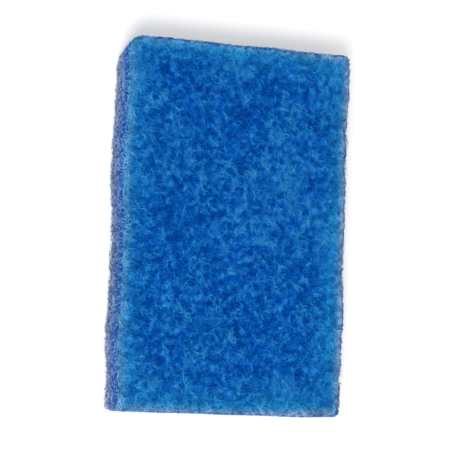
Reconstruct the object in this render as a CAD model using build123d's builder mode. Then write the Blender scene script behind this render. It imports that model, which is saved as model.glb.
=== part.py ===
"""Scouring pad: one slab of open, non-woven fibre web, cut with rounded corners.

The pad lies flat, with its origin under its middle, its length along Y and its
thickness along Z. The web is a dense core under a mat of coarse crimped strands.
Each strand comes up out of the core, bends left and right by turns, crosses over and
under its neighbours, and dives back in. On the faces the strands lie at any heading,
and on the cut sides they lie along the edge, layer over layer.
"""

from build123d import *
import os
import random

# Driving dimensions, in millimetres and degrees
length = 150.0
width = 100.0
thickness = 15.0
corner_radius = 2.2
broad_corner_foot = 14.0  # the corner at -X, +Y is cut rounder, and most at the lower face
broad_corner_head = 5.5  # radius of that corner at the upper face
rim_chamfer = 0.9

relief = 1.3  # height of the mat over the core, on the faces and on the cut sides
strand_width = 3.4  # at the foot
runs_per_strand = 6
lowest_crest = 0.55  # crest of the lowest strands, as a share of the relief
highest_crest = 1.15  # the highest strands are cut off level with the pad's outside
root = 0.4  # how far a strand's foot is sunk into the core

face_pitch = 14.5  # spacing of the strands' middles on the faces
face_run = 6.7  # straight run between two crimps
face_crimp = 36.0  # how far each run swings from the strand's heading
face_scatter = 20.0  # how unevenly it swings

side_pitch = 3.6  # height between two layers in the cut sides
side_run = 10.0
side_crimp = 9.0
side_scatter = 9.0
web_seed = 7

mat_depth = relief * highest_crest + root  # from the highest crest to the feet


def scattered(span_x, span_y, pitch_x, pitch_y):
    """Points of a grid over a centred rectangle, each moved a little from its place."""
    columns = max(1, round(span_x / pitch_x))
    rows = max(1, round(span_y / pitch_y))
    points = []
    for column in range(columns):
        for row in range(rows):
            x = span_x * ((column + dice.uniform(0.15, 0.85)) / columns - 0.5)
            y = span_y * ((row + dice.uniform(0.15, 0.85)) / rows - 0.5)
            points.append(Vector(x, y))
    return points


def crest_line(middle, heading, run, crimp, scatter):
    """Crest of one strand about its middle, where z is the height over the core."""
    flat = [Vector(0, 0)]
    for index in range(runs_per_strand):
        swing = crimp if index % 2 == 0 else -crimp
        angle = heading + swing + dice.uniform(-scatter, scatter)
        flat.append(flat[-1] + Vector(run, 0).rotate(Axis.Z, angle))
    centre = sum(flat, Vector(0, 0)) / len(flat)
    heights = [relief * dice.uniform(lowest_crest, highest_crest) for point in flat]
    heights[0] = -root
    heights[-1] = -root
    return [point - centre + middle + Vector(0, 0, height) for point, height in zip(flat, heights)]


def strand(crest):
    """Solid of one strand: a gable section swept along its crest, mitred at the crimps."""
    with BuildPart(mode=Mode.PRIVATE) as swept:
        with BuildLine():
            path = Polyline(*crest)
        level = Vector(0, 0, 1).cross(path % 0)
        with BuildSketch(Plane(origin=path @ 0, x_dir=level, z_dir=path % 0)):
            Polygon((0, 0), (-strand_width / 2, -mat_depth), (strand_width / 2, -mat_depth), align=None)
        sweep(path=path, transition=Transition.RIGHT)
    return swept.part


def face_mat(surface):
    """Strands of one face, at any heading, about one to each square of the pitch."""
    mat = []
    for middle in scattered(width, length, face_pitch, face_pitch):
        crest = crest_line(middle, dice.uniform(0, 180), face_run, face_crimp, face_scatter)
        mat.append(surface.location * strand(crest))
    return mat


def side_mat(surface, span):
    """Strands of one cut side, which follow the edge, one layer over the other."""
    spacing = side_run * (runs_per_strand - 1)
    mat = []
    for middle in scattered(span - broad_corner_head, thickness - 2 * relief, spacing, side_pitch):
        crest = crest_line(middle, 0, side_run, side_crimp, side_scatter)
        mat.append(surface.location * strand(crest))
    return mat


def cut_outline(height, inset):
    """Outline of the pad at a height, a little inside its cut sides."""
    share = height / thickness
    broad_corner = broad_corner_foot * (1 - share) + broad_corner_head * share
    with BuildSketch(Plane.XY.offset(height), mode=Mode.PRIVATE) as outline:
        Rectangle(width - 2 * inset, length - 2 * inset)
        fillet(outline.vertices().sort_by_distance((-width, length))[0], radius=broad_corner - inset)
        fillet(outline.vertices().sort_by_distance((width, -length))[:3], radius=corner_radius - inset)
    return outline.sketch


# The space that the whole pad fills: sloping sides at one corner, and rims worn round
with BuildPart() as envelope:
    for height, inset in ((0, rim_chamfer), (rim_chamfer, 0), (thickness - rim_chamfer, 0), (thickness, rim_chamfer)):
        add(cut_outline(height, inset))
    loft(ruled=True)

# Strands of both faces and of the four cut sides
dice = random.Random(web_seed)
strands = []
for surface in (Plane.XY.offset(thickness - relief), -Plane.XY.offset(relief)):
    strands += face_mat(surface)
for turn, across, span in ((0, width, length), (90, length, width), (180, width, length), (270, length, width)):
    outward = Vector(1, 0, 0).rotate(Axis.Z, turn)
    origin = outward * (across / 2 - relief) + Vector(0, 0, thickness / 2)
    surface = Plane(origin=origin, x_dir=Vector(0, 0, 1).cross(outward), z_dir=outward)
    strands += side_mat(surface, span)

# Core and mat in one, trimmed to the envelope
with BuildPart() as web:
    add(cut_outline(relief, relief))
    add(cut_outline(thickness - relief, relief))
    loft(ruled=True)
    add(strands)
    add(envelope.part, mode=Mode.INTERSECT)

# The pad is what holds together: a clipping that the trim leaves loose falls away
with BuildPart() as scouring_pad:
    add(web.solids().sort_by(SortBy.VOLUME)[-1])

scouring_pad.part.label = "scouring_pad"
os.makedirs("parts", exist_ok=True)
export_step(scouring_pad.part, "parts/scouring_pad.step")
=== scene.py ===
"""Scouring pad: a lofty, non-woven web of crimped fibres, lying flat on a pale floor.

The pad is a lumpy core under mats of fine fibres. The fibres of the two faces lie at any
heading, and those of the cut sides follow the edge in layers. Each fibre is a thin tube
along a path that is worked out with numpy, for all the fibres of a piece at once.
"""

import math

import bpy
import numpy as np
from bpy.props import FloatProperty, FloatVectorProperty, IntProperty, PointerProperty
from mathutils import Matrix, Vector


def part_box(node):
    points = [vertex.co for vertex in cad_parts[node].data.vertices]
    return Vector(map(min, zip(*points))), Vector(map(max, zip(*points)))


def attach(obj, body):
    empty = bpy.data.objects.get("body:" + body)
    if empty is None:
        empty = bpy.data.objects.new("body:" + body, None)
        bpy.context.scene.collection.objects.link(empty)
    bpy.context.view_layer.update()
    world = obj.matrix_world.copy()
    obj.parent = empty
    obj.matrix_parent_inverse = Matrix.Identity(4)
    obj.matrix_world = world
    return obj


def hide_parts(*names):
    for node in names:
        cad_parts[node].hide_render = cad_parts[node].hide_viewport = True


bl_info = {
    "name": "Scouring pad",
    "version": (1, 0, 0),
    "blender": (4, 5, 0),
    "location": "3D View > Sidebar > Scouring pad",
    "description": "Builds a scouring pad of crimped fibres and the stage that it lies on",
    "category": "Add Mesh",
}

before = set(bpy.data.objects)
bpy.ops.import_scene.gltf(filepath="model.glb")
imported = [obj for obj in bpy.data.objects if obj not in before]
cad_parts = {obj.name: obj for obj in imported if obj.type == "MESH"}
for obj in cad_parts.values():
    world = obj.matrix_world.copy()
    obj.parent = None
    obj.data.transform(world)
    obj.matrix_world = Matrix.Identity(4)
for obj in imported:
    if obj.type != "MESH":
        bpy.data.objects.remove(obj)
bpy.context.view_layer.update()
low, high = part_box("scouring_pad")
BODY = "root"
NODE = "scouring_pad"
BAKE_MAP = "OFBake"

# The corners of the outline, anticlockwise
CORNER_SIGNS = np.array([(1, 1), (-1, 1), (-1, -1), (1, -1)])

# Seeds of the random draws: one for each noise and each piece of fibres
SEEDS = {
    "clumps": 11, "half-size clumps": 12, "patches": 1133, "drift": 8, "swell": 5, "grain": 14,
    "upper_mat": 21, "upper_fleece": 22, "lower_mat": 23, "side_mat": 31, "cut_ends": 32,
}
LATTICE = 64  # cells along each side of a noise's lattice, after which it repeats

# Distances across the other noises, in metres, beside the clumps' own
DRIFT_LENGTH = 0.016
SWELL_LENGTH = 0.022
GRAIN_LENGTH = 0.001
CLUMPS_IN_PATCH = 12  # how many clumps lie across a patch

# Fibres, in metres and rings
BOW_RADIUS = 0.018  # radius of a fibre's usual bow
FRAY_OUT = 0.0004  # how far outside the cut outline the faces' fibres may end
FRAY_IN = 0.0003  # how far inside it they may end
FEWEST_RINGS = 3  # a shorter run of a fibre is left out
SHORTEST_STUB = 0.0010
LONGEST_STUB = 0.0020
STUB_RINGS = 4

# Wear, painted light and painted shade
RUBBED_AND_LIT_RIM = 0.0045  # how far in from the outline the faces are palest, by wear and painted light, in metres
RIM_WEAR_REACH = 0.0034  # how far in undyed fibre shows half way across a face, in metres
RIM_WEAR_EXTRA = 0.0022  # how much further it shows by the long sides, in metres
SIDE_PAINTED_SHADE = 0.42  # painted shade: how much darker the cut sides are painted than the faces, in tint


# Settings ------------------------------------------------------------------------------


class PadForm(bpy.types.PropertyGroup):
    """Form of the slab that the web is cut to"""

    corner_radius: FloatProperty(
        name="Corner radius", description="Radius of three of the cut corners",
        default=0.0022, min=0, unit="LENGTH", subtype="DISTANCE")
    broad_corner_foot: FloatProperty(
        name="Broad corner foot", description="Radius of the corner at -X, +Y on the lower face",
        default=0.014, min=0, unit="LENGTH", subtype="DISTANCE")
    broad_corner_head: FloatProperty(
        name="Broad corner head", description="Radius of the corner at -X, +Y on the upper face",
        default=0.0055, min=0, unit="LENGTH", subtype="DISTANCE")
    rim_reach: FloatProperty(
        name="Rim reach", description="How far in from the outline the faces start to fall away",
        default=0.0025, min=0, unit="LENGTH", subtype="DISTANCE")
    rim_fall: FloatProperty(
        name="Rim fall", description="How far the faces have fallen at the outline",
        default=0.0005, min=0, unit="LENGTH", subtype="DISTANCE")
    swell: FloatProperty(
        name="Swell", description="How much the loft rises and falls across a face",
        default=0.00025, min=0, unit="LENGTH", subtype="DISTANCE")
    drift: FloatProperty(
        name="Drift", description="How far the cut wanders to each side of its line",
        default=0.0006, min=0, unit="LENGTH", subtype="DISTANCE")
    core_depth: FloatProperty(
        name="Core depth", description="Depth of the core's surface under the faces",
        default=0.0012, min=0, unit="LENGTH", subtype="DISTANCE")
    core_inset: FloatProperty(
        name="Core inset", description="Depth of the core's surface behind the cut sides",
        default=0.0008, min=0, unit="LENGTH", subtype="DISTANCE")
    core_step: FloatProperty(
        name="Core step", description="Spacing of the core's mesh",
        default=0.0008, min=0.0002, unit="LENGTH", subtype="DISTANCE")
    clump_size: FloatProperty(
        name="Clump size", description="Distance across the clumps and pores of the web",
        default=0.0018, min=0.0005, unit="LENGTH", subtype="DISTANCE")
    clump_height: FloatProperty(
        name="Clump height", description="How far a clump stands over the mean of the web",
        default=0.00045, min=0, unit="LENGTH", subtype="DISTANCE")
    pore_bridging: FloatProperty(
        name="Pore bridging", description="Share of a pore's depth that fibres pass over",
        default=0.65, min=0, max=1, subtype="FACTOR")


class PadFibres(bpy.types.PropertyGroup):
    """Fibres of the mats"""

    diameter: FloatProperty(
        name="Diameter", description="Diameter of a resin-coated fibre",
        default=0.00035, min=0.0001, unit="LENGTH", subtype="DISTANCE")
    step: FloatProperty(
        name="Step", description="Length of fibre between two rings of its mesh",
        default=0.00095, min=0.0002, unit="LENGTH", subtype="DISTANCE")
    rings: IntProperty(
        name="Rings", description="Rings along a whole fibre", default=11, min=STUB_RINGS)
    crimp_length: FloatProperty(
        name="Crimp length", description="Length of one wave of the crimp",
        default=0.0050, min=0.001, unit="LENGTH", subtype="DISTANCE")
    crimp_height: FloatProperty(
        name="Crimp height", description="How far the crimp swings to each side",
        default=0.00055, min=0, unit="LENGTH", subtype="DISTANCE")
    mat_depth: FloatProperty(
        name="Mat depth", description="Depth through which the fibres lie over each other",
        default=0.0012, min=0, unit="LENGTH", subtype="DISTANCE")
    mat_count: IntProperty(
        name="Fibres in a mat", description="Fibres in each mat of the faces",
        default=3200, min=1)
    side_count: IntProperty(
        name="Fibres in the sides", description="Fibres that follow the cut sides",
        default=3700, min=1)
    stub_count: IntProperty(
        name="Cut ends", description="Cut fibre ends that stand out of the sides",
        default=3400, min=1)


class PadColours(bpy.types.PropertyGroup):
    """Colours of the dyed fibre and its resin"""

    deep: FloatVectorProperty(
        name="Deep", description="Colour down in the web",
        default=(0.0002, 0.093, 0.50), size=3, min=0, max=1, subtype="COLOR")
    body: FloatVectorProperty(
        name="Body", description="Colour of most fibres",
        default=(0.001, 0.195, 0.71), size=3, min=0, max=1, subtype="COLOR")
    bright: FloatVectorProperty(
        name="Bright", description="Colour of the palest fibres",
        default=(0.043, 0.38, 0.78), size=3, min=0, max=1, subtype="COLOR")
    # The rubbed colour is partly wear and partly painted light that the rim's fibres catch
    rubbed: FloatVectorProperty(
        name="Rubbed", description="Colour of the faces where they are rubbed pale",
        default=(0.03, 0.45, 0.89), size=3, min=0, max=1, subtype="COLOR")
    cut: FloatVectorProperty(
        name="Cut", description="Colour of the cut sides, where undyed fibre ends show",
        default=(0.35, 0.39, 0.55), size=3, min=0, max=1, subtype="COLOR")
    roughness: FloatProperty(
        name="Roughness", description="Mean roughness of the resin coat",
        default=0.6, min=0, max=1, subtype="FACTOR")


class PadStage(bpy.types.PropertyGroup):
    """Floor, lamp and camera"""

    floor_size: FloatProperty(
        name="Floor size", description="Width of the floor",
        default=6.0, min=0.5, unit="LENGTH", subtype="DISTANCE")
    floor_glow: FloatProperty(
        name="Floor glow", description="How much the floor glows where the camera sees it",
        default=0.32, min=0)
    key_power: FloatProperty(
        name="Key power", description="Power of the soft lamp beyond the -X, -Y corner",
        default=19.3, min=0, unit="POWER")
    key_size: FloatProperty(
        name="Key size", description="Width of the soft lamp",
        default=0.75, min=0.01, unit="LENGTH", subtype="DISTANCE")
    key_offset: FloatVectorProperty(
        name="Key offset", description="Place of the soft lamp from the middle of the pad",
        default=(-0.675, -0.825, 1.275), size=3, subtype="XYZ_LENGTH")
    fill: FloatProperty(
        name="Fill", description="Strength of the even light from all round",
        default=0.55, min=0)
    lens: FloatProperty(
        name="Lens", description="Focal length of the camera, in millimetres",
        default=188.0, min=10, unit="CAMERA")
    distance: FloatProperty(
        name="Distance", description="Distance from the camera to the middle of the pad",
        default=0.9597, min=0.1, unit="LENGTH", subtype="DISTANCE")
    swing: FloatProperty(
        name="Swing", description="How far the camera stands round towards the long -X side",
        default=math.radians(25.15), subtype="ANGLE")
    dip: FloatProperty(
        name="Dip", description="How far the camera stands down towards the -Y end",
        default=math.radians(4.17), subtype="ANGLE")
    roll: FloatProperty(
        name="Roll", description="Turn of the camera about its line of sight",
        default=math.radians(1.81), subtype="ANGLE")
    offset: FloatVectorProperty(
        name="Offset", description="Shift of the camera from the pad's middle, along and up its view",
        default=(-0.00178, 0.00187), size=2, subtype="XYZ_LENGTH")


# Shape of the pad ----------------------------------------------------------------------


def half_sizes():
    """Half the pad's width and length."""
    return (high.x - low.x) / 2, (high.y - low.y) / 2


def height_share(z):
    """How far up the side heights are, from 0 on the lower face to 1 on the upper."""
    return np.clip((z - low.z) / (high.z - low.z), 0, 1)


def corner_radii(form, height):
    """Radii of the corners, anticlockwise from (+X, +Y), at heights from 0 to 1 up the side."""
    plain = np.full(np.shape(height), form.corner_radius)
    broad = form.broad_corner_foot * (1 - height) + form.broad_corner_head * height
    return np.stack([plain, broad, plain, plain], axis=-1)


def way_round(form):
    """Length of the outline half way up the sides: a rectangle's, less what its corners cut off."""
    half_x, half_y = half_sizes()
    radii = corner_radii(form, np.array(0.5))
    return 4 * (half_x + half_y) - (2 - math.pi / 2) * radii.sum()


def outline_legs(form):
    """The outline's eight legs half way up: a corner and the side after it, four times over.

    Gives the corner and the heading angle at the start of each leg and at the end of the
    last, the length of each leg, and the distance at which it starts, with the whole way
    round after the last. A corner is as long as its quarter circle, and a side as the way
    from one corner's end to the next one.
    """
    corner = np.append(np.repeat(np.arange(4), 2), 0)
    angle = np.append(np.arange(1, 9) // 2, 4) * math.pi / 2
    heading = np.stack([np.cos(angle), np.sin(angle)], axis=1)
    radii = corner_radii(form, np.array(0.5))
    centres = CORNER_SIGNS * (np.array(half_sizes()) - radii[:, None])
    ends = centres[corner] + radii[corner, None] * heading
    straight = np.linalg.norm(np.diff(ends, axis=0), axis=1)
    is_corner = np.arange(8) % 2 == 0
    length = np.where(is_corner, radii[corner[:-1]] * math.pi / 2, straight)
    return corner, angle, length, np.append(0, np.cumsum(length))


def outline_walk(form, s, z):
    """Points and outward normals of the cut sides at the distances s along and heights z.

    The outline is a circle whose centre, radius and heading angle all change in step with
    the distance: on a corner only the angle turns, and on a straight side the centre and
    the radius run evenly from one corner's to the next one's. The distance starts where
    the corner at (+X, +Y) starts and goes on anticlockwise, round and round. The corners'
    radii go with the height, and the cut's drift moves each point along its normal.
    """
    corner, angle, length, start = outline_legs(form)
    s = np.mod(s, start[-1])
    leg = np.clip(np.searchsorted(start, s, side="right") - 1, 0, 7)
    share = (s - start[leg]) / length[leg]
    turn = angle[leg] * (1 - share) + angle[leg + 1] * share
    normal = np.stack([np.cos(turn), np.sin(turn), np.zeros_like(turn)], axis=-1)
    radii = corner_radii(form, height_share(z))

    def circle(which):
        radius = np.take_along_axis(radii, which[..., None], axis=-1)
        return CORNER_SIGNS[which] * (np.array(half_sizes()) - radius), radius

    from_centre, from_radius = circle(corner[leg])
    to_centre, to_radius = circle(corner[leg + 1])
    share = share[..., None]
    centre = from_centre * (1 - share) + to_centre * share
    radius = from_radius * (1 - share) + to_radius * share
    level = centre + radius * normal[..., :2]
    points = np.concatenate([level, np.asarray(z)[..., None]], axis=-1)
    return points + normal * cut_drift(form, level[..., 0], level[..., 1])[..., None], normal


def edge_depth(form, x, y, z):
    """How far points lie inside the cut outline: a rounded rectangle's distance, negated.

    The corner radius is that of the quarter that the point is in. Past the corner's centre
    the distance is to its circle, and elsewhere it is to the nearer side. The cut's drift
    is added.
    """
    half_x, half_y = half_sizes()
    quarter = np.where(y > 0, np.where(x > 0, 0, 1), np.where(x > 0, 3, 2))
    radii = corner_radii(form, height_share(z))
    radius = np.take_along_axis(radii, quarter[..., None], axis=-1)[..., 0]
    over_x = np.abs(x) - half_x + radius
    over_y = np.abs(y) - half_y + radius
    round_corner = radius - np.hypot(np.maximum(over_x, 0), np.maximum(over_y, 0))
    return round_corner - np.minimum(np.maximum(over_x, over_y), 0) + cut_drift(form, x, y)


def lattice_noise(points, cell, name):
    """Smooth noise from -1 to 1 at 3-D points.

    Random values stand on a cubic lattice of the given cell, drawn from the seed of that
    name. A point takes the blend of its eight neighbours, weighted along each axis by the
    smoothstep of its place between them.
    """
    values = np.random.default_rng(SEEDS[name]).uniform(-1, 1, (LATTICE, LATTICE, LATTICE))
    scaled = np.asarray(points) / cell
    base = np.floor(scaled).astype(int)
    part = scaled - base
    part = part * part * (3 - 2 * part)
    total = np.zeros(scaled.shape[:-1])
    for corner in np.ndindex(2, 2, 2):
        weight = np.prod(np.where(corner, part, 1 - part), axis=-1)
        x, y, z = np.moveaxis((base + corner) % LATTICE, -1, 0)
        total += weight * values[x, y, z]
    return total


def clumping(form, points):
    """How far the web is clumped, at 1, or open, at -1.

    It is noise of three sizes added up, over 0.9 and cut off at both ends: a clump's, half
    of that size at half the strength, and a patch's at 0.45 of the strength.
    """
    size = form.clump_size
    clumps = lattice_noise(points, size, "clumps")
    clumps = clumps + 0.5 * lattice_noise(points, size / 2, "half-size clumps")
    patches = 0.45 * lattice_noise(points, CLUMPS_IN_PATCH * size, "patches")
    return np.clip((clumps + patches) / 0.9, -1, 1)


def cut_drift(form, x, y):
    """How far outward the cut lies from its line: slow noise over the pad, raised by half the drift."""
    level = np.stack([x, y, np.zeros_like(x)], axis=-1)
    return form.drift * (0.5 + lattice_noise(level, DRIFT_LENGTH, "drift"))


def face_fall(form, x, y, level, bridging=0):
    """How far a face lies under its highest level: it rounds off towards the outline.

    The fall is the rim's fall times the square of how near the point is to the outline,
    counted over the rim's reach, plus a slow swell of the loft and the pores' depth, less
    the share of it that is bridged. Near the outline the pores lose up to 0.6 of their depth.
    """
    z = np.full(np.shape(x), level)
    nearness = np.clip(1 - edge_depth(form, x, y, z) / form.rim_reach, 0, 1.2)
    flat = np.stack([x, y, z], axis=-1)
    swell = form.swell * (0.5 + 0.5 * lattice_noise(flat, SWELL_LENGTH, "swell"))
    pores = form.clump_height * (1 - clumping(form, flat)) * (1 - bridging)
    return form.rim_fall * nearness ** 2 + swell + pores * (1 - 0.6 * np.minimum(nearness, 1))


# Wear and painted light ---------------------------------------------------------------


def leaning(x, y, middle, to_x, to_y):
    """A value that changes evenly over the pad: its middle, and what it gains towards +X and +Y."""
    return middle + to_x * x / high.x + to_y * y / high.y


def rubbed_and_lit_share(form, x, y, z):
    """How pale the web is near its outline, by wear and by painted light: a wide soft band and a narrow
    one, added up.

    The wide band goes with the square of the nearness to the outline, counted over its
    reach, which is longer towards +X and -Y. The narrow one goes with the nearness itself.
    """
    depth = edge_depth(form, x, y, z)
    reach = leaning(x, y, middle=0.017, to_x=0.003, to_y=-0.001)
    wide = np.clip(1 - depth / reach, 0, 1) ** 2
    narrow = np.clip(1 - depth / RUBBED_AND_LIT_RIM, 0, 1)
    return np.minimum(0.8 * wide + 0.5 * narrow, 1)


def rim_wear(inside, x, y):
    """How much undyed fibre shows on a face, where it is this far inside the outline.

    It goes with the nearness to the outline, to the power 1.8, times a share that is
    highest at +X and -Y. The reach of the nearness grows with the square of x.
    """
    reach = RIM_WEAR_REACH + RIM_WEAR_EXTRA * (x / high.x) ** 2
    share = leaning(x, y, middle=0.75, to_x=0.25, to_y=-0.12)
    return share * np.clip(1 - inside / reach, 0, 1) ** 1.8


def side_paling(points, tint):
    """How pale the cut sides are rubbed and painted lit, and how much of the cut colour shows on them.

    The head is the top eighth of the height, where the sides are paler, partly rubbed and partly
    painted light, and undyed fibre shows, most at +X and -Y. The cut colour also grows from the foot
    up, by the share of the height that lies over the point, to the power 1.4. Both go with the fibre's
    tint.
    """
    x, y, z = np.moveaxis(points, -1, 0)
    share = height_share(z)
    head = np.clip(8 * share - 7, 0, 1) * (0.4 + 0.7 * tint)
    foot = (1 - share) ** 1.4 * (0.68 + 0.95 * tint)
    cut = foot + leaning(x, y, middle=0.45, to_x=0.3, to_y=-0.2) * head
    return np.clip(head, 0, 0.8), np.clip(cut, 0, 1)


# Meshes --------------------------------------------------------------------------------


def floats(values):
    """The values as one flat array, in the form that a mesh takes."""
    return np.ascontiguousarray(values, dtype=np.float32).ravel()


def mesh_object(name, points, faces, uv, values, material):
    """Mesh object from a point array, groups of equal-sided faces, corner UVs and point values."""
    mesh = bpy.data.meshes.new(name)
    corners = np.concatenate([group.ravel() for group in faces])
    sides = np.concatenate([np.full(len(group), group.shape[1]) for group in faces])
    starts = np.append(0, np.cumsum(sides)[:-1])
    mesh.vertices.add(len(points))
    mesh.vertices.foreach_set("co", floats(points))
    mesh.loops.add(len(corners))
    mesh.loops.foreach_set("vertex_index", corners.astype(np.int32))
    mesh.polygons.add(len(sides))
    mesh.polygons.foreach_set("loop_start", starts.astype(np.int32))
    mesh.polygons.foreach_set("use_smooth", np.ones(len(sides), dtype=bool))
    layer = mesh.uv_layers.new(name=BAKE_MAP)
    layer.data.foreach_set("uv", floats(uv))
    for key, amounts in values.items():
        field = mesh.attributes.new(key, "FLOAT", "POINT")
        field.data.foreach_set("value", floats(amounts))
    mesh.update(calc_edges=True)
    if mesh.validate():
        raise RuntimeError(f"the mesh of {name} had faults")
    mesh.materials.append(material)
    piece = bpy.data.objects.new(name, mesh)
    bpy.context.scene.collection.objects.link(piece)
    return piece


def dress(piece):
    """Makes a piece part of the pad: it rides on its body and stands for its solid."""
    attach(piece, BODY)
    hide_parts(NODE)


def unit(vectors):
    """The same vectors, each made one long."""
    return vectors / np.maximum(np.linalg.norm(vectors, axis=-1, keepdims=True), 1e-12)


# Core ----------------------------------------------------------------------------------


def core_grid(form, columns, rows, height):
    """Grid over the area inside the core's outline, at a height from 0 to 1.

    A row spans the outline from side to side at its own y, so its ends lie on the cut
    sides and corners. The rows' y goes with the sine of even steps, so that they lie
    closer at both ends. Each side's x comes from the circle of the corner that the row
    passes, and is the straight side's elsewhere. The cut's drift moves each point outward
    in step with how far out it lies.
    """
    half_x, half_y = half_sizes()
    half_x -= form.core_inset
    half_y -= form.core_inset
    radii = np.maximum(corner_radii(form, np.array(height)) - form.core_inset, form.core_step)
    across = np.linspace(-1, 1, columns + 1)
    widest = 1.45  # angle in radians whose sine the outermost rows take
    y = half_y * np.sin(np.linspace(-1, 1, rows + 1) * widest) / math.sin(widest)

    def side(upper, lower):
        radius = np.where(y > 0, upper, lower)
        over = np.clip(np.abs(y) - half_y + radius, 0, radius)
        return half_x - radius + np.sqrt(radius ** 2 - over ** 2)

    right = side(radii[0], radii[3])
    left = -side(radii[1], radii[2])
    x = left[:, None] + (right - left)[:, None] * (across + 1) / 2
    y = np.broadcast_to(y[:, None], x.shape)
    drift = cut_drift(form, x, y)
    return x * (1 + drift / half_x), y * (1 + drift / half_y)


def core_face(form, level, height, outward):
    """Grid of one face of the core: the pad's, sunk by the core's depth, or half of it at the rim."""
    half_x, half_y = half_sizes()
    columns = int(round(2 * half_x / form.core_step))
    rows = int(round(2 * half_y / form.core_step))
    x, y = core_grid(form, columns, rows, height)
    rim = np.clip(1 - edge_depth(form, x, y, np.full(x.shape, level)) / form.rim_reach, 0, 1)
    fall = face_fall(form, x, y, level) + form.core_depth * (1 - 0.5 * rim)
    return np.stack([x, y, level - outward * fall], axis=-1)


def core_band(form, foot, head):
    """Rows of points that join the borders of the core's two faces, even steps apart.

    The clumping times the clumps' height moves each point outward. Outward is the ninth
    power of its level place over the half sizes, made one long, which is square to the
    nearer side, and slants at a corner.
    """
    levels = int(round((high.z - low.z) / form.core_step))
    share = np.linspace(0, 1, levels + 1)[1:-1, None, None]
    band = foot * (1 - share) + head * share
    half_x, half_y = half_sizes()
    level = np.stack([band[..., 0] / half_x, band[..., 1] / half_y, np.zeros(band.shape[:2])], axis=-1)
    return band + unit(level ** 9) * (form.clump_height * clumping(form, band))[..., None]


def core_uv(points, upper, lower, rungs):
    """Corner UVs of the core: two faces side by side, seen square on, and the band unrolled over them."""
    upper_place, lower_place, face_size = (0.02, 0.02), (0.52, 0.02), (0.46, 0.74)
    band_place, band_size = (0.02, 0.80), (0.96, 0.18)
    spread = (points[:, :2] / half_sizes() + 1) / 2
    around = rungs.shape[1]
    levels = len(rungs) - 1
    column, rung = np.meshgrid(np.arange(around), np.arange(levels))
    along = np.stack([column, column + 1, column + 1, column], axis=-1).reshape(-1, 4) / around
    up = np.stack([rung, rung, rung + 1, rung + 1], axis=-1).reshape(-1, 4) / levels
    return np.concatenate([
        upper_place + spread[upper] * face_size,
        lower_place + spread[lower] * face_size,
        band_place + np.stack([along, up], axis=-1) * band_size,
    ])


def core_values(form, points, sides):
    """Point values of the core: its shade goes with the clumps, as painted light and shade, its depth
    value paints it darker, and it has the fibres' wear and painted light at the rim.
    """
    clumps = clumping(form, points)
    # painted light and shade: lighter on the clumps, darker in the pores
    tint = 0.42 + 0.26 * clumps
    rubbed = rubbed_and_lit_share(form, *points.T)
    cut = 0.8 * rim_wear(edge_depth(form, *points.T), *points.T[:2])
    rubbed[sides], cut[sides] = side_paling(points[sides], tint[sides])
    # painted shade: the core's cut sides are painted darker than its faces
    tint[sides] -= SIDE_PAINTED_SHADE
    # painted shade: the core is painted darker as it lies under the fibres, most in the pores
    return {"tint": tint, "depth": 0.8 - 0.4 * clumps, "rubbed": rubbed, "cut": cut}


def core_mesh(form):
    """Points, faces, corner UVs and point values of the closed, lumpy core.

    Both faces are grids of the same size. A band of rows joins their borders, and its
    quads go round from each row to the next, with the faces' borders as the outer rows.
    """
    top = core_face(form, high.z, 1.0, outward=1)
    bottom = core_face(form, low.z, 0.0, outward=-1)
    count = top.shape[0] * top.shape[1]
    index = np.arange(count).reshape(top.shape[:2])
    border = np.concatenate([index[0, :-1], index[:-1, -1], index[-1, :0:-1], index[:0:-1, 0]])
    top, bottom = top.reshape(-1, 3), bottom.reshape(-1, 3)
    band = core_band(form, bottom[border], top[border])
    points = np.concatenate([top, bottom, band.reshape(-1, 3)])

    between = 2 * count + np.arange(band.shape[0] * len(border)).reshape(-1, len(border))
    rungs = np.concatenate([(border + count)[None], between, border[None]])
    ahead = np.roll(rungs, -1, axis=1)
    side_quads = np.stack([rungs[:-1], ahead[:-1], ahead[1:], rungs[1:]], axis=-1).reshape(-1, 4)
    upper = np.stack([index[:-1, :-1], index[:-1, 1:], index[1:, 1:], index[1:, :-1]], axis=-1)
    upper = upper.reshape(-1, 4)
    lower = (upper + count)[:, ::-1]
    faces = np.concatenate([upper, lower, side_quads])
    uv = core_uv(points, upper, lower, rungs)
    return points, [faces], uv, core_values(form, points, slice(2 * count, None))


# Fibres --------------------------------------------------------------------------------


def kept_runs(inside):
    """Which rings of each fibre stay: the unbroken run about its middle that is inside.

    A ring stays where all the rings from the middle one to it are inside. A fibre that
    would keep fewer than the fewest rings keeps none.
    """
    middle = inside.shape[1] // 2
    ahead = np.logical_and.accumulate(inside[:, middle:], axis=1)
    behind = np.logical_and.accumulate(inside[:, middle::-1], axis=1)[:, ::-1]
    kept = np.concatenate([behind[:, :-1], ahead], axis=1)
    return kept & (kept.sum(axis=1, keepdims=True) >= FEWEST_RINGS)


def tube_rings(paths, up, radius, sides):
    """Rings of points round the points of each path.

    A ring's point is the path's point plus the radius times the cosine of its angle along
    the side direction, which is up crossed with the tangent, and its sine along the
    tangent crossed with that.
    """
    tangent = unit(np.gradient(paths, axis=1))
    side = unit(np.cross(up, tangent))
    over = np.cross(tangent, side)
    angle = np.arange(sides) * 2 * math.pi / sides + math.pi / 2
    ring = side[..., None, :] * np.cos(angle)[:, None] + over[..., None, :] * np.sin(angle)[:, None]
    return paths[..., None, :] + radius[..., None, None] * ring


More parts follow.
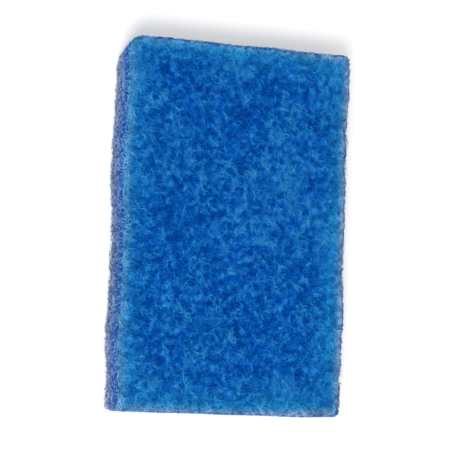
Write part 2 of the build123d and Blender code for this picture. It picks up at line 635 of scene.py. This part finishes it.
def tube_uv(shape, tube, place, capped, sides):
    """Corner UVs of the tubes' quads, and then of their head caps and their tail caps.

    Each tube has its own tile of the map, with its length along u and the way round along
    v. The caps are small discs, one before the tube's first ring and one after its last.
    """
    tubes, rings = shape
    tiles = math.ceil(math.sqrt(tubes))
    cell = np.array([1 / (tiles * (rings + 3)), 1 / (tiles * (sides + 1))])
    turn = np.arange(sides)

    def tile(which):
        return np.stack([which % tiles, which // tiles], axis=-1) / tiles

    along = np.stack([place, place, place + 1, place + 1], axis=-1)[:, None, :] + 1.5
    along = np.broadcast_to(along, (len(tube), sides, 4))
    around = np.broadcast_to(np.stack([turn, turn + 1, turn + 1, turn], axis=-1) + 0.5, along.shape)
    quads = tile(tube)[:, None, None] + np.stack([along, around], axis=-1) * cell
    bend = turn * 2 * math.pi / sides
    disc = np.stack([0.35 * np.cos(bend), 0.3 * sides * np.sin(bend)], axis=-1)
    middle = 0.5 + sides / 2
    heads = tile(capped)[:, None] + (disc[::-1] + (0.6, middle)) * cell
    tails = tile(capped)[:, None] + (disc + (rings + 1.6, middle)) * cell
    return np.concatenate([quads.reshape(-1, 2), heads.reshape(-1, 2), tails.reshape(-1, 2)])


def tube_mesh(paths, up, radius, kept, values, sides=3):
    """Points, faces, corner UVs and point values of closed tubes, one along each path.

    A quad joins two points of a ring to those of the next, and a cap closes each end of
    the rings that are kept.
    """
    points = tube_rings(paths, up, radius, sides)[kept].reshape(-1, 3)
    first = np.full(kept.shape, -1)
    first[kept] = np.arange(kept.sum()) * sides
    tube, place = np.nonzero(kept[:, :-1] & kept[:, 1:])
    start = first[tube, place][:, None]
    end = first[tube, place + 1][:, None]
    turn = np.arange(sides)
    following = (turn + 1) % sides
    quads = np.stack([start + turn, start + following, end + following, end + turn], axis=-1)
    capped = np.nonzero(kept.any(axis=1))[0]
    head = kept.argmax(axis=1)[capped]
    tail = kept.shape[1] - 1 - kept[:, ::-1].argmax(axis=1)[capped]
    head_caps = first[capped, head][:, None] + turn[::-1]
    tail_caps = first[capped, tail][:, None] + turn
    uv = tube_uv(kept.shape, tube, place, capped, sides)
    values = {key: np.repeat(amounts[kept], sides) for key, amounts in values.items()}
    return points, [quads.reshape(-1, 4), head_caps, tail_caps], uv, values


def crimped_course(fibres, rng, count, heading):
    """Level courses of many fibres about their middles: how far each ring lies along and across.

    The course bows steadily, so its heading is the given one plus the bow times the
    distance from its middle, and its points are the running sum of steps along that
    heading. The crimp moves them across it by a sine wave and by one 0.35 as high, with
    1.7 waves to each of the first's. Its length and height differ from fibre to fibre.
    """
    distance = (np.arange(fibres.rings) - (fibres.rings - 1) / 2) * fibres.step
    bow = rng.normal(0, 1, (count, 1)) / BOW_RADIUS
    bearing = heading[:, None] + bow * distance
    along = np.cumsum(np.cos(bearing), axis=1) * fibres.step
    across = np.cumsum(np.sin(bearing), axis=1) * fibres.step
    middle = fibres.rings // 2
    along -= along[:, middle, None]
    across -= across[:, middle, None]
    wave = 2 * math.pi * distance / (fibres.crimp_length * rng.uniform(0.75, 1.35, (count, 1)))
    phase = rng.uniform(0, 2 * math.pi, (2, count, 1))
    crimp = fibres.crimp_height * rng.uniform(0.35, 1.5, (count, 1))
    swing = crimp * (np.sin(wave + phase[0]) + 0.35 * np.sin(1.7 * wave + phase[1]))
    return along - swing * np.sin(bearing), across + swing * np.cos(bearing)


def fibre_depth(fibres, rng, count):
    """Depth of each ring under the outside: a level, a slow wave, and ends that dive in.

    The levels are a random share of the mat's depth, to the power 1.3, so more of them
    are shallow. The wave is a sine a quarter of the mat's depth high, and the dive goes
    with the fourth power of the way from the middle to an end. To all of it 0.8 of the
    diameter is added, so that the fibre itself lies under the outside.
    """
    place = np.linspace(-1, 1, fibres.rings)
    level = fibres.mat_depth * rng.uniform(0, 1, (count, 1)) ** 1.3
    phase = rng.uniform(0, 2 * math.pi, (count, 1))
    wave = 0.25 * fibres.mat_depth * np.sin(place * rng.uniform(2, 6, (count, 1)) + phase)
    dive = 0.8 * fibres.mat_depth * np.abs(place) ** 4
    return np.maximum(level + wave + dive, 0) + 0.8 * fibres.diameter


def fibre_tint(form, rng, paths, own, grain):
    """Shade of each ring: a share of the fibre's own, the rest by the clumping, and a fine grain."""
    shade = rng.uniform(0, 1, (len(paths), 1))
    # uneven tone, and also painted light on the clumps and painted shade over the pores
    clumped = 0.5 + 0.48 * clumping(form, paths)
    fine = lattice_noise(paths, GRAIN_LENGTH, "grain")
    return own * shade + (1 - own) * clumped + grain * fine


def fibre_radius(fibres, rng, count):
    """Radius of each ring: fibres differ a little, and swell and thin with the resin.

    It is half the diameter, times the fibre's own share from 0.8 to 1.2, times the ring's
    share for the resin, which is spread normally about 1 by 0.12 and cut off at twice that.
    """
    own = rng.uniform(0.8, 1.2, (count, 1))
    resin = 1 + 0.12 * rng.normal(0, 1, (count, fibres.rings)).clip(-2, 2)
    return fibres.diameter / 2 * own * resin


def face_mat(form, fibres, name, upper):
    """Fibres of one mat on the upper or the lower face, at any heading.

    Of two random places for each fibre, it gets the one where the web is more clumped. It
    lies at its own depth under the face, bridges part of the pores, and ends at the cut
    outline, give or take the fray.
    """
    rng = np.random.default_rng(SEEDS[name])
    count = fibres.mat_count
    level = high.z if upper else low.z
    outward = 1.0 if upper else -1.0
    places = rng.uniform(-1, 1, (2, count, 3)) * (*half_sizes(), 0) + (0, 0, level)
    better = clumping(form, places).argmax(axis=0)
    middle = places[better, np.arange(count)]
    along, across = crimped_course(fibres, rng, count, rng.uniform(0, 2 * math.pi, count))
    x = middle[:, :1] + along
    y = middle[:, 1:2] + across
    depth = fibre_depth(fibres, rng, count)
    z = level - outward * (face_fall(form, x, y, level, form.pore_bridging) + depth)
    paths = np.stack([x, y, z], axis=-1)
    inside = edge_depth(form, x, y, z)
    kept = kept_runs(inside > rng.uniform(-FRAY_OUT, FRAY_IN, (count, 1)))
    tint = fibre_tint(form, rng, paths, own=0.12, grain=0.28)
    values = {
        "tint": tint,
        # painted shade: a fibre is painted darker the deeper it lies in the mat
        "depth": np.clip(depth / fibres.mat_depth, 0, 1),
        # painted light: the rim is painted paler, partly wear and partly light caught by its fibres
        "rubbed": np.clip(rubbed_and_lit_share(form, x, y, z) * (0.7 + 0.6 * tint), 0, 1),
        "cut": np.clip(rim_wear(inside, x, y) * (0.4 + 1.2 * tint), 0, 1),
    }
    return tube_mesh(paths, np.array([0, 0, outward]), fibre_radius(fibres, rng, count), kept, values)


def side_mat(form, fibres, name):
    """Fibres that follow the cut sides in layers: the course runs along the outline and up.

    Its distance along becomes a distance along the cut outline, and four fifths of its
    distance across a height. The depth goes in from the outline, further in the pores and
    at both rims. A fibre ends where it would stand over the rounded rim.
    """
    rng = np.random.default_rng(SEEDS[name])
    count = fibres.side_count
    along, across = crimped_course(fibres, rng, count, rng.normal(0, 0.3, count))
    s = rng.uniform(0, way_round(form), (count, 1)) + along
    z = rng.uniform(low.z, high.z, (count, 1)) + 0.8 * across
    points, normal = outline_walk(form, s, z)
    depth = 0.8 * fibre_depth(fibres, rng, count) - 0.5 * fibres.diameter
    from_middle = np.abs(2 * (z - low.z) / (high.z - low.z) - 1)
    roll_in = form.rim_fall * np.clip(6 * from_middle - 5, 0, 2) ** 2
    pores = form.clump_height * np.maximum(0.3 - clumping(form, points), 0)
    paths = points - normal * (depth + roll_in + pores)[..., None]
    x, y = paths[..., 0], paths[..., 1]
    below = high.z - face_fall(form, x, y, high.z) - z
    above = z - low.z - face_fall(form, x, y, low.z)
    kept = kept_runs(np.minimum(below, above) > 0.7 * fibres.diameter)
    tint = fibre_tint(form, rng, paths, own=0.35, grain=0.7)
    rubbed, cut = side_paling(paths, tint)
    # painted shade: fibres further in from the cut are painted darker
    depth = np.clip(depth / fibres.mat_depth, 0, 1)
    # painted shade: the side fibres are painted darker than the faces' fibres
    values = {"tint": tint - SIDE_PAINTED_SHADE, "depth": depth, "rubbed": rubbed, "cut": cut}
    return tube_mesh(paths, normal, fibre_radius(fibres, rng, count), kept, values)


def cut_ends(form, fibres, name):
    """Short cut ends that stand out of the sides, each a gently bent stub.

    A stub goes along the outline's normal, from its span behind the cut to a tenth of its
    span outside it. It leans along the outline and up or down in step with that, and its
    inner end leans half as much.
    """
    rng = np.random.default_rng(SEEDS[name])
    count = fibres.stub_count
    reach = np.linspace(-1, 0.1, STUB_RINGS)
    lean = rng.normal(0, 0.7, (count, 1)) * (1 + 0.5 * reach)
    rise = rng.normal(0, 0.45, (count, 1)) * (1 + 0.5 * reach)
    span = rng.uniform(SHORTEST_STUB, LONGEST_STUB, (count, 1))
    z = low.z + (high.z - low.z) * rng.uniform(0.06, 0.94, (count, 1)) + rise * reach * span
    z = np.clip(z, low.z + 0.8 * fibres.diameter, high.z - 0.8 * fibres.diameter)
    s = rng.uniform(0, way_round(form), (count, 1)) + np.zeros(z.shape)
    points, normal = outline_walk(form, s, z)
    tangent = np.stack([-normal[..., 1], normal[..., 0], np.zeros(z.shape)], axis=-1)
    paths = points + (reach * span)[..., None] * normal + (lean * reach * span)[..., None] * tangent
    radius = fibre_radius(fibres, rng, count)[:, :STUB_RINGS]
    values = {
        "tint": fibre_tint(form, rng, paths, own=0.25, grain=0),
        # painted shade: a stub is painted darker towards its inner end, inside the cut
        "depth": np.broadcast_to(-0.6 * reach, z.shape),
        # the stubs take the rubbed colour, partly painted light, in full
        "rubbed": np.ones(z.shape),
        "cut": rng.uniform(0.5, 1, (count, 1)) * (1 - 0.6 * height_share(z)),
    }
    return tube_mesh(paths, np.array([0, 0, 1.0]), radius, np.ones(z.shape, dtype=bool), values)


# Materials -----------------------------------------------------------------------------


def node(tree, kind, place, inputs=None, **settings):
    """Adds one shader node with its settings, and gives its inputs constants or links to sockets."""
    made = tree.nodes.new(kind)
    made.location = place
    for key, value in settings.items():
        setattr(made, key, value)
    for key, value in (inputs or {}).items():
        if isinstance(value, bpy.types.NodeSocket):
            tree.links.new(value, made.inputs[key])
        else:
            made.inputs[key].default_value = value
    return made


def mix(tree, place, factor, first, second, kind="RGBA"):
    """Adds a mix of two colours, or of two floats, each a constant or a socket."""
    inputs = {"Factor": factor, "A": first, "B": second}
    return node(tree, "ShaderNodeMix", place, inputs, data_type=kind).outputs["Result"]


def reckon(tree, place, operation, *values):
    """Adds one operation on floats, each a constant or a socket."""
    inputs = dict(enumerate(values))
    return node(tree, "ShaderNodeMath", place, inputs, operation=operation).outputs["Value"]


def empty_material(name):
    """New material, and its node tree with nothing in it."""
    made = bpy.data.materials.new(name)
    made.use_nodes = True
    made.node_tree.nodes.clear()
    return made, made.node_tree


def new_group(name, inputs, outputs):
    """Empty node group with float inputs, given with their defaults, and float outputs."""
    tree = bpy.data.node_groups.new(name, "ShaderNodeTree")
    for key, default in inputs.items():
        socket = tree.interface.new_socket(key, in_out="INPUT", socket_type="NodeSocketFloat")
        socket.default_value = default
    for key in outputs:
        tree.interface.new_socket(key, in_out="OUTPUT", socket_type="NodeSocketFloat")
    return tree, node(tree, "NodeGroupInput", (-1200, 0)).outputs


def mottle_group():
    """Node group: clumps and wide patches of the web, as one shade, and the grain of the resin."""
    name = "Web mottle"
    if name in bpy.data.node_groups:
        return bpy.data.node_groups[name]
    scales = {"Clump Scale": 370.0, "Patch Scale": 55.0, "Grain Scale": 6000.0}
    tree, given = new_group(name, scales, ("Shade", "Grain"))
    place = node(tree, "ShaderNodeTexCoord", (-900, 250)).outputs["Object"]
    clumps = node(tree, "ShaderNodeTexNoise", (-650, 300), {
        "Vector": place, "Scale": given["Clump Scale"], "Detail": 1.5, "Roughness": 0.55})
    patches = node(tree, "ShaderNodeTexNoise", (-650, 50), {
        "Vector": place, "Scale": given["Patch Scale"], "Detail": 1.0})
    grain = node(tree, "ShaderNodeTexNoise", (-650, -200), {
        "Vector": place, "Scale": given["Grain Scale"], "Detail": 2.0})
    near = node(tree, "ShaderNodeMapRange", (-400, 300), {
        "Value": clumps.outputs["Fac"], "From Min": 0.3, "From Max": 0.7})
    wide = node(tree, "ShaderNodeMapRange", (-400, 50), {
        "Value": patches.outputs["Fac"], "From Min": 0.35, "From Max": 0.65})
    both = mix(tree, (-100, 200), 0.35, near.outputs["Result"], wide.outputs["Result"], "FLOAT")
    node(tree, "NodeGroupOutput", (600, 0), {"Shade": both, "Grain": grain.outputs["Fac"]})
    return tree


def tangle_group():
    """Node group: a tangle of fine curly strands, 1 along a strand and 0 in the pores between.

    The strands are the edges between the cells of a Voronoi pattern, whose coordinates are
    bent by noise.
    """
    name = "Fine tangle"
    if name in bpy.data.node_groups:
        return bpy.data.node_groups[name]
    scales = {"Cell Scale": 900.0, "Bend Scale": 1300.0, "Bend": 0.0012}
    tree, given = new_group(name, scales, ("Strand",))
    place = node(tree, "ShaderNodeTexCoord", (-1000, 250)).outputs["Object"]
    noise = node(tree, "ShaderNodeTexNoise", (-800, 100), {
        "Vector": place, "Scale": given["Bend Scale"], "Detail": 1.0})
    centred = node(tree, "ShaderNodeVectorMath", (-600, 100), {
        0: noise.outputs["Color"], 1: (0.5, 0.5, 0.5)}, operation="SUBTRACT")
    sized = node(tree, "ShaderNodeVectorMath", (-400, 100), {
        0: centred.outputs["Vector"], "Scale": given["Bend"]}, operation="SCALE")
    bent = node(tree, "ShaderNodeVectorMath", (-200, 200), {
        0: place, 1: sized.outputs["Vector"]}, operation="ADD")
    cells = node(tree, "ShaderNodeTexVoronoi", (0, 200), {
        "Vector": bent.outputs["Vector"], "Scale": given["Cell Scale"]}, feature="DISTANCE_TO_EDGE")
    strand = node(tree, "ShaderNodeMapRange", (250, 200), {
        "Value": cells.outputs["Distance"],
        "From Min": 0.02, "From Max": 0.16, "To Min": 1.0, "To Max": 0.0})
    node(tree, "NodeGroupOutput", (600, 0), {"Strand": strand.outputs["Result"]})
    return tree


def point_value(tree, key, place):
    """Adds the reading of one of the pieces' point values."""
    return node(tree, "ShaderNodeAttribute", place, attribute_name=key).outputs["Fac"]


def web_shade(tree, mottle, painted_depth_shade):
    """Adds the web's shade: a fifth the mottle's, the rest the tint's, less painted shade by depth."""
    tint = point_value(tree, "tint", (-1300, 0))
    depth = point_value(tree, "depth", (-1300, -200))
    both = mix(tree, (-1050, 200), 0.8, mottle["Shade"], tint, "FLOAT")
    # painted shade: the deeper a point lies in the web, the darker it is painted
    return reckon(tree, (-850, 100), "MULTIPLY_ADD", depth, -painted_depth_shade, both)


def tangled_strands(tree):
    """Adds the fine tangle in two sizes, one laid over the other."""
    fine = node(tree, "ShaderNodeGroup", (-1300, 600), node_tree=tangle_group())
    coarse = node(tree, "ShaderNodeGroup", (-1300, 800), {
        "Cell Scale": 520.0, "Bend": 0.002}, node_tree=tangle_group())
    return reckon(tree, (-1050, 650), "MAXIMUM", fine.outputs["Strand"], coarse.outputs["Strand"])


def dyed_colour(tree, place, shade, colours):
    """Adds the dyed fibre's colour by its shade: deep up to 0.1, the body's at 0.42, bright from 0.82."""
    ramp = node(tree, "ShaderNodeValToRGB", place, {"Fac": shade})
    deepest, brightest = ramp.color_ramp.elements
    deepest.position, brightest.position = 0.10, 0.82
    deepest.color = (*colours.deep, 1)
    brightest.color = (*colours.bright, 1)
    ramp.color_ramp.elements.new(0.42).color = (*colours.body, 1)
    return ramp.outputs["Color"]


def shaded_colour(tree, place, shade, colour, darkest, palest):
    """Adds a colour that goes from its darkest share to its palest one as the shade grows."""
    dark = (*(darkest * part for part in colour), 1)
    pale = (*(min(palest * part, 1) for part in colour), 1)
    return mix(tree, place, shade, dark, pale)


def worn_and_lit_colour(tree, shade, colours):
    """Adds the web's colour: the dyed one, with the rubbed one, partly painted light, over it, and the
    cut one over both.
    """
    dyed = dyed_colour(tree, (-450, 100), shade, colours)
    # painted light: the rubbed colour is partly wear and partly the light caught at the rim
    rubbed = shaded_colour(tree, (-450, -60), shade, colours.rubbed, darkest=0.75, palest=1.25)
    cut = shaded_colour(tree, (-450, -300), shade, colours.cut, darkest=0.62, palest=1.8)
    pale = mix(tree, (-150, 100), point_value(tree, "rubbed", (-650, -200)), dyed, rubbed)
    return mix(tree, (50, 100), point_value(tree, "cut", (-400, -400)), pale, cut)


def web_material(name, colours, painted_depth_shade, tangled):
    """Dyed fibre: its blue goes by fibre, and by clump with painted light and shade, is darker with
    depth as painted shade, and is paler where rubbed, with painted light at the rim, or cut.

    On the core, whose own surface is smooth, the fine tangle stands for its fibres: it
    lightens the shade and lifts the surface. On a fibre, the resin's grain lifts it.
    """
    if name in bpy.data.materials:
        return bpy.data.materials[name]
    made, tree = empty_material(name)
    mottle = node(tree, "ShaderNodeGroup", (-1300, 300), node_tree=mottle_group()).outputs
    shade = web_shade(tree, mottle, painted_depth_shade)
    lift = {"Height": mottle["Grain"], "Strength": 0.35, "Distance": 0.00006}
    if tangled:
        strands = tangled_strands(tree)
        shade = reckon(tree, (-650, 200), "MULTIPLY_ADD", strands, 0.55, shade)
        lift = {"Height": strands, "Strength": 0.8, "Distance": 0.0003}
    colour = worn_and_lit_colour(tree, shade, colours)
    rough = node(tree, "ShaderNodeMapRange", (-150, -150), {
        "Value": mottle["Grain"],
        "To Min": colours.roughness - 0.12, "To Max": colours.roughness + 0.12})
    bump = node(tree, "ShaderNodeBump", (-150, -400), lift)
    shader = node(tree, "ShaderNodeBsdfPrincipled", (250, 100), {
        "Base Color": colour, "Roughness": rough.outputs["Result"],
        "Normal": bump.outputs["Normal"], "Specular IOR Level": 0.05})
    node(tree, "ShaderNodeOutputMaterial", (550, 100), {"Surface": shader.outputs["BSDF"]})
    return made


def seen_ray(tree):
    """Value that is 1 on rays that show the background: from the camera, mirrored or passed through."""
    path = node(tree, "ShaderNodeLightPath", (-800, 100)).outputs
    mirrored = reckon(tree, (-600, 100), "MAXIMUM", path["Is Camera Ray"], path["Is Glossy Ray"])
    return reckon(tree, (-400, 100), "MAXIMUM", mirrored, path["Is Transmission Ray"])


def floor_material(glow_strength):
    """White floor that keeps a soft shadow: seen by the camera, it glows a little as well."""
    made, tree = empty_material("Pale floor")
    lift = reckon(tree, (-200, 100), "MULTIPLY", seen_ray(tree), glow_strength)
    glow = node(tree, "ShaderNodeEmission", (0, 100), {"Color": (1, 1, 1, 1), "Strength": lift})
    matt = node(tree, "ShaderNodeBsdfDiffuse", (0, -100), {"Color": (0.8, 0.8, 0.8, 1)})
    both = node(tree, "ShaderNodeAddShader", (250, 0), {
        0: glow.outputs["Emission"], 1: matt.outputs["BSDF"]})
    node(tree, "ShaderNodeOutputMaterial", (450, 0), {"Surface": both.outputs["Shader"]})
    return made


# Stage ---------------------------------------------------------------------------------


def lay_floor(scene, stage):
    """Square floor under the pad's lower face."""
    reach = stage.floor_size / 2
    corners = [(reach * x, reach * y, low.z) for x, y in ((-1, -1), (1, -1), (1, 1), (-1, 1))]
    mesh = bpy.data.meshes.new("floor")
    mesh.from_pydata(corners, [], [(0, 1, 2, 3)])
    mesh.materials.append(floor_material(stage.floor_glow))
    floor = bpy.data.objects.new("floor", mesh)
    scene.collection.objects.link(floor)


def hang_lamp(scene, stage, middle):
    """Soft square lamp that points at the middle of the pad."""
    lamp = bpy.data.lights.new("key", "AREA")
    lamp.energy = stage.key_power
    lamp.size = stage.key_size
    key = bpy.data.objects.new("key", lamp)
    key.location = middle + Vector(stage.key_offset)
    key.rotation_euler = (middle - key.location).to_track_quat("-Z", "Y").to_euler()
    scene.collection.objects.link(key)


def light_room(scene, stage):
    """White world that lights the pad from all round at the fill's strength, and shows as white."""
    world = bpy.data.worlds.new("Studio")
    world.use_nodes = True
    scene.world = world
    tree = world.node_tree
    tree.nodes.clear()
    level = node(tree, "ShaderNodeMapRange", (-200, 100), {
        "Value": seen_ray(tree), "To Min": stage.fill, "To Max": 1.0})
    sky = node(tree, "ShaderNodeBackground", (0, 100), {
        "Color": (1, 1, 1, 1), "Strength": level.outputs["Result"]})
    node(tree, "ShaderNodeOutputWorld", (250, 100), {"Surface": sky.outputs["Background"]})


def set_camera(scene, stage, middle):
    """Camera that looks straight down, swung to -X, dipped to -Y and rolled about its line of sight."""
    turn = (Matrix.Rotation(-stage.swing, 3, "Y") @ Matrix.Rotation(stage.dip, 3, "X")
            @ Matrix.Rotation(stage.roll, 3, "Z"))
    lens = bpy.data.cameras.new("camera")
    lens.lens = stage.lens
    lens.clip_start = 0.01
    camera = bpy.data.objects.new("camera", lens)
    camera.rotation_euler = turn.to_euler()
    camera.location = middle + turn @ Vector((*stage.offset, stage.distance))
    scene.collection.objects.link(camera)
    scene.camera = camera


# Operators -----------------------------------------------------------------------------


class PAD_OT_core(bpy.types.Operator):
    """Makes the lumpy core of the web, which closes the pad behind its fibres"""

    bl_idname = "scouring_pad.core"
    bl_label = "Web core"

    def execute(self, context):
        scene = context.scene
        material = web_material("Web core", scene.pad_colours, painted_depth_shade=0.5, tangled=True)
        core = mesh_object("web_core", *core_mesh(scene.pad_form), material)
        dress(core)
        return {"FINISHED"}


class PAD_OT_face_mats(bpy.types.Operator):
    """Makes the mats of fibres on the two faces"""

    bl_idname = "scouring_pad.face_mats"
    bl_label = "Face mats"

    def execute(self, context):
        scene = context.scene
        material = web_material("Web fibre", scene.pad_colours, painted_depth_shade=0.2, tangled=False)
        for name, upper in (("upper_mat", True), ("upper_fleece", True), ("lower_mat", False)):
            parts = face_mat(scene.pad_form, scene.pad_fibres, name, upper)
            dress(mesh_object(name, *parts, material))
        return {"FINISHED"}


class PAD_OT_cut_sides(bpy.types.Operator):
    """Makes the layered fibres of the cut sides, and the cut ends that stand out of them"""

    bl_idname = "scouring_pad.cut_sides"
    bl_label = "Cut sides"

    def execute(self, context):
        scene = context.scene
        material = web_material("Web fibre", scene.pad_colours, painted_depth_shade=0.2, tangled=False)
        for name, maker in (("side_mat", side_mat), ("cut_ends", cut_ends)):
            parts = maker(scene.pad_form, scene.pad_fibres, name)
            dress(mesh_object(name, *parts, material))
        return {"FINISHED"}


class PAD_OT_stage(bpy.types.Operator):
    """Makes the floor, the lamp, the even light and the camera that looks down on the pad"""

    bl_idname = "scouring_pad.stage"
    bl_label = "Stage"

    def execute(self, context):
        scene = context.scene
        stage = scene.pad_stage
        middle = (low + high) / 2
        scene.view_settings.view_transform = "Standard"
        lay_floor(scene, stage)
        hang_lamp(scene, stage, middle)
        light_room(scene, stage)
        set_camera(scene, stage, middle)
        return {"FINISHED"}


class PAD_PT_panel(bpy.types.Panel):
    """Sidebar panel with every size and colour, and the operators in their order"""

    bl_idname = "PAD_PT_panel"
    bl_label = "Scouring pad"
    bl_space_type = "VIEW_3D"
    bl_region_type = "UI"
    bl_category = "Scouring pad"

    def draw(self, context):
        for name, group in SETTINGS.items():
            box = self.layout.box()
            box.label(text=group.__doc__)
            for key in group.__annotations__:
                box.prop(getattr(context.scene, name), key)
        for maker in MAKERS:
            self.layout.operator(maker.bl_idname)


SETTINGS = {
    "pad_form": PadForm,
    "pad_fibres": PadFibres,
    "pad_colours": PadColours,
    "pad_stage": PadStage,
}
MAKERS = (PAD_OT_core, PAD_OT_face_mats, PAD_OT_cut_sides, PAD_OT_stage)


def register():
    for group in (*SETTINGS.values(), *MAKERS, PAD_PT_panel):
        bpy.utils.register_class(group)
    for name, group in SETTINGS.items():
        setattr(bpy.types.Scene, name, PointerProperty(type=group))


def unregister():
    for name in SETTINGS:
        delattr(bpy.types.Scene, name)
    for group in reversed((*SETTINGS.values(), *MAKERS, PAD_PT_panel)):
        bpy.utils.unregister_class(group)


def main():
    """Builds the pad and its stage."""
    register()
    bpy.ops.scouring_pad.core()
    bpy.ops.scouring_pad.face_mats()
    bpy.ops.scouring_pad.cut_sides()
    bpy.ops.scouring_pad.stage()


if __name__ == "__main__":
    main()
